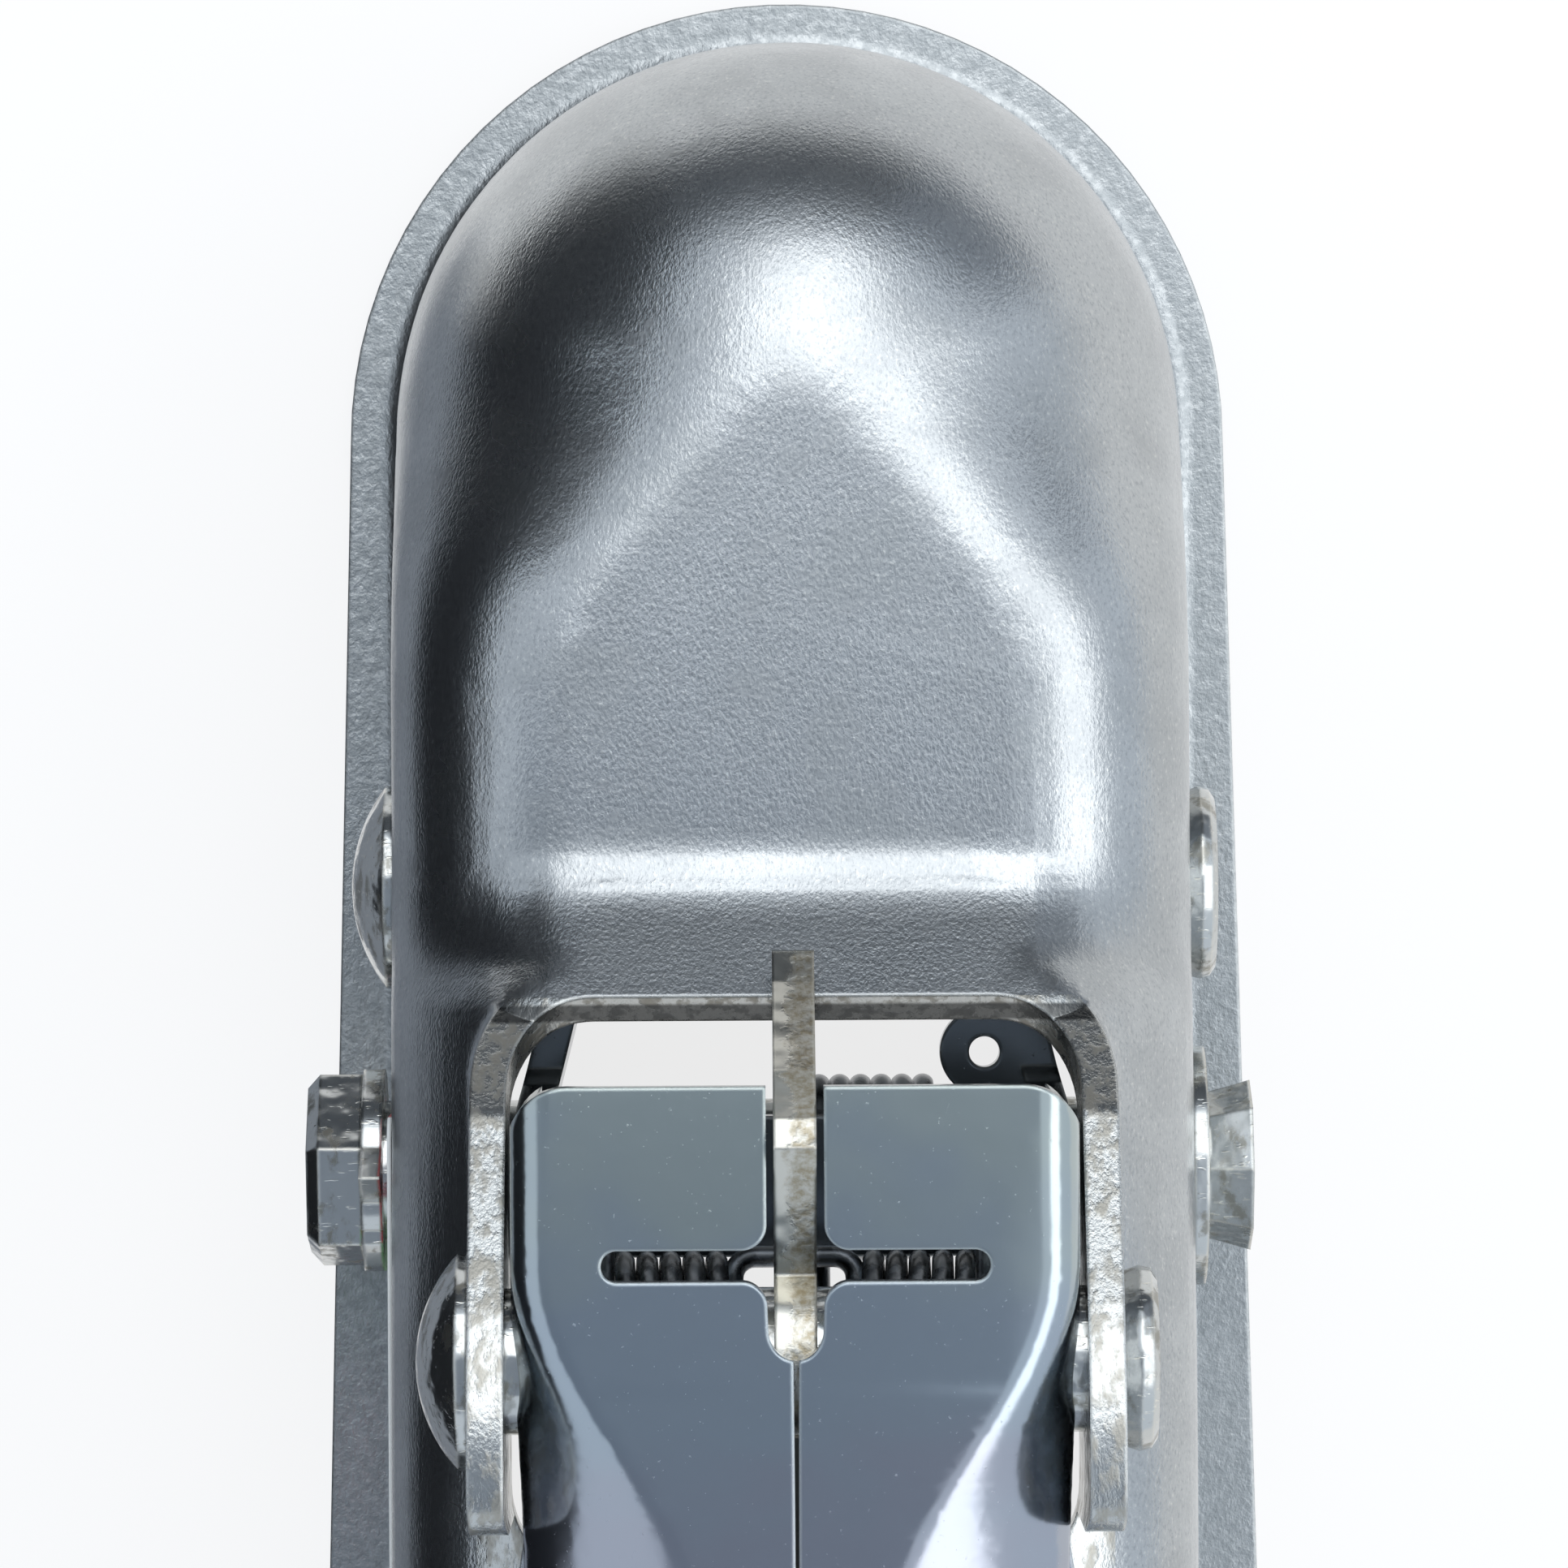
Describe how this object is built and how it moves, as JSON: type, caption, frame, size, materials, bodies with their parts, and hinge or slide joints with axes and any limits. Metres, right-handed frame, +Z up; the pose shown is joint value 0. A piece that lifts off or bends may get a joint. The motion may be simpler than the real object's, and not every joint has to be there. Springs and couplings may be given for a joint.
{
  "type": "trailer coupling head",
  "caption": "Pressed-steel trailer coupling head with a domed ball socket, a lift handle, a sprung safety catch and a drawbar channel.",
  "frame": {"origin": "centre of the seated towing ball", "axes": "+Y from the drawbar to the nose, +X to the right, +Z up, away from the open mouth of the ball socket"},
  "size_m": [0.0736, 0.1977, 0.075],
  "materials": {
    "zinc_body": "satin",
    "zinc_bright": "satin",
    "zinc_handle": "satin",
    "spring_steel": "satin",
    "printed_film": "gloss"
  },
  "bodies": {
    "housing": {"coupling_body": "zinc_body", "jaw_pivot_rivet": "zinc_bright", "handle_pivot_rivet": "zinc_bright", "indicator_label": "printed_film", "handle_spring": "spring_steel", "lever_spring": "spring_steel"},
    "handle": {"handle": "zinc_handle"},
    "catch": {"safety_catch": "zinc_bright"},
    "lever": {"closing_lever": "zinc_bright", "indicator_pin": "zinc_bright", "indicator_pointer": "zinc_bright", "indicator_washer": "zinc_bright"},
    "jaw": {"ball_jaw": "zinc_body"}
  },
  "joints": [
    {"name": "handle_lift", "type": "hinge", "parent": "housing", "child": "handle", "pos_m": [0, -0.0646, 0.042], "axis": [-1, 0, 0], "range_deg": [0, 38], "deforming": ["handle_spring"]},
    {"name": "catch_release", "type": "hinge", "parent": "housing", "child": "catch", "pos_m": [0, -0.0646, 0.042], "axis": [1, 0, 0], "range_deg": [0, 8], "deforming": ["handle_spring"]},
    {"name": "lever_turn", "type": "hinge", "parent": "housing", "child": "lever", "pos_m": [0, -0.0533, 0.008], "axis": [-1, 0, 0], "range_deg": [0, 18], "deforming": ["lever_spring"]},
    {"name": "jaw_swing", "type": "hinge", "parent": "housing", "child": "jaw", "pos_m": [0, -0.0329, 0.006], "axis": [-1, 0, 0], "range_deg": [0, 12.5]}
  ],
  "couplings": [
    {"joint": "lever_turn", "follows": "handle_lift", "ratio": 0.47368},
    {"joint": "jaw_swing", "follows": "handle_lift", "ratio": 0.32895}
  ]
}
